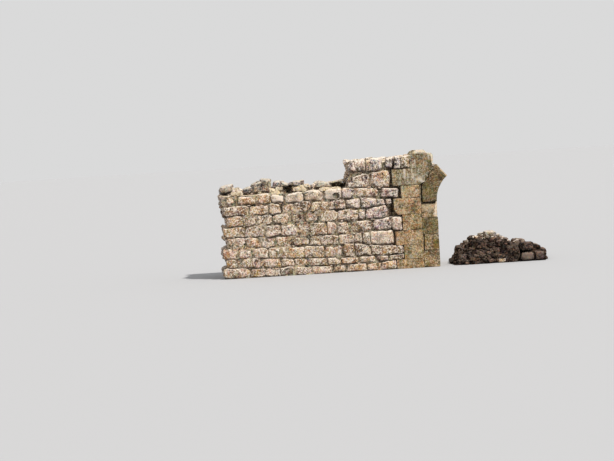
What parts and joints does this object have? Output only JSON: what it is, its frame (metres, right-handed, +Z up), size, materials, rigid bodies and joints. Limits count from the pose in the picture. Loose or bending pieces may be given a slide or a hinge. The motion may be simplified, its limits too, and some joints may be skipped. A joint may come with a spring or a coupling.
{
  "type": "ruined stone bridge",
  "caption": "Ruined small arch bridge: a standing abutment with quoins, springers and ring stones, a low wing wall and a collapsed far abutment.",
  "frame": {"origin": "on the ground under the middle of the ruin's length and width", "axes": "+X along the bridge from the wing wall to the far abutment, -Y towards the viewer's face, +Z up"},
  "size_m": [10.1, 2.4, 3.69],
  "materials": {
    "dressed_stone": "weathered dressed sandstone with lichen",
    "rubble_stone": "coursed rubble, lime washed out of the joints",
    "core_rubble": "broken core of small stones and lime",
    "fallen_stone": "loose weathered stones"
  },
  "bodies": {
    "root": {"cap_stone_back": "dressed_stone", "cap_stone_front": "dressed_stone", "fallen_rubble": "fallen_stone", "fallen_stones": "fallen_stone", "far_back_facing": "rubble_stone", "far_core": "core_rubble", "far_front_facing": "rubble_stone", "far_jamb_back": "dressed_stone", "far_jamb_front": "dressed_stone", "far_jamb_middle": "dressed_stone", "haunch_stone_back": "dressed_stone", "haunch_stone_front": "dressed_stone", "jamb_back_1": "dressed_stone", "jamb_back_2": "dressed_stone", "jamb_back_3": "dressed_stone", "jamb_back_4": "dressed_stone", "jamb_front_1": "dressed_stone", "jamb_front_2": "dressed_stone", "jamb_front_3": "dressed_stone", "jamb_front_4": "dressed_stone", "jamb_middle": "dressed_stone", "near_back_facing": "rubble_stone", "near_front_facing": "rubble_stone", "quoin_back_1": "dressed_stone", "quoin_back_2": "dressed_stone", "quoin_back_3": "dressed_stone", "quoin_back_4": "dressed_stone", "quoin_back_5": "dressed_stone", "quoin_back_6": "dressed_stone", "quoin_front_1": "dressed_stone", "quoin_front_2": "dressed_stone", "quoin_front_3": "dressed_stone", "quoin_front_4": "dressed_stone", "quoin_front_5": "dressed_stone", "quoin_front_6": "dressed_stone", "rubble_core": "core_rubble", "springer_back": "dressed_stone", "springer_front": "dressed_stone", "springer_middle": "dressed_stone", "voussoir_back": "dressed_stone", "voussoir_front": "dressed_stone", "voussoir_middle": "dressed_stone", "wing_back_facing": "rubble_stone", "wing_front_facing": "rubble_stone", "wing_top_stones": "fallen_stone"}
  },
  "joints": []
}
